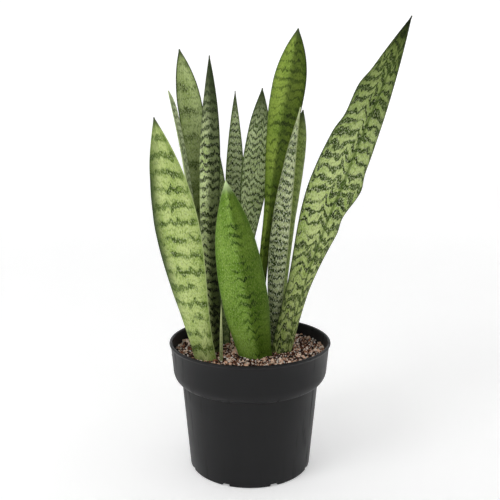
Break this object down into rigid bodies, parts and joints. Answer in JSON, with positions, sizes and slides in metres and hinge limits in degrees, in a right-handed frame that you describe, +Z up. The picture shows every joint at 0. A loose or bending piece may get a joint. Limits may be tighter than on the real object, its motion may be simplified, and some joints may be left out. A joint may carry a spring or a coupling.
{
  "type": "potted snake plant",
  "caption": "Snake plant with upright sword-shaped banded green leaves, growing from potting mix in a round black plastic nursery pot with a tall rim band.",
  "frame": {"origin": "centre of the pot's underside, on the surface that the pot stands on", "axes": "+Z up through the pot's axis, -Y towards the plant's front, +X to its right"},
  "size_m": [0.2499, 0.165, 0.4524],
  "materials": {
    "pot_plastic": "injection-moulded polypropylene, satin black",
    "potting_mix": "coarse moist potting mix of bark, coir and perlite",
    "rhizome": "fleshy underground stem, dull",
    "leaf_light_green": "waxy succulent leaf, light green with dark wavy crossbands",
    "leaf_bright_green": "waxy young leaf, bright green with darker crossbands",
    "leaf_banded_green": "waxy leaf, grey-green with broad dark zigzag bands",
    "leaf_olive_green": "waxy leaf, olive green with a dark margin",
    "leaf_pale_green": "waxy leaf, pale cream green with dark mottling",
    "leaf_grey_green": "waxy leaf, grey green with dense fine mottling",
    "leaf_dark_green": "waxy leaf, dark green with pale crossbands"
  },
  "bodies": {
    "root": {"leaf_dark_tip": "leaf_dark_green", "leaf_edge_left": "leaf_dark_green", "leaf_front_centre": "leaf_bright_green", "leaf_front_left": "leaf_light_green", "leaf_grey_middle": "leaf_grey_green", "leaf_needle": "leaf_grey_green", "leaf_pale_spear": "leaf_pale_green", "leaf_rear_left": "leaf_light_green", "leaf_shaded": "leaf_dark_green", "leaf_short_right": "leaf_olive_green", "leaf_sprout": "leaf_pale_green", "leaf_tall_centre": "leaf_olive_green", "leaf_tall_right": "leaf_banded_green", "nursery_pot": "pot_plastic", "potting_mix": "potting_mix", "rhizome_centre": "rhizome", "rhizome_left": "rhizome", "rhizome_right": "rhizome"}
  },
  "joints": []
}
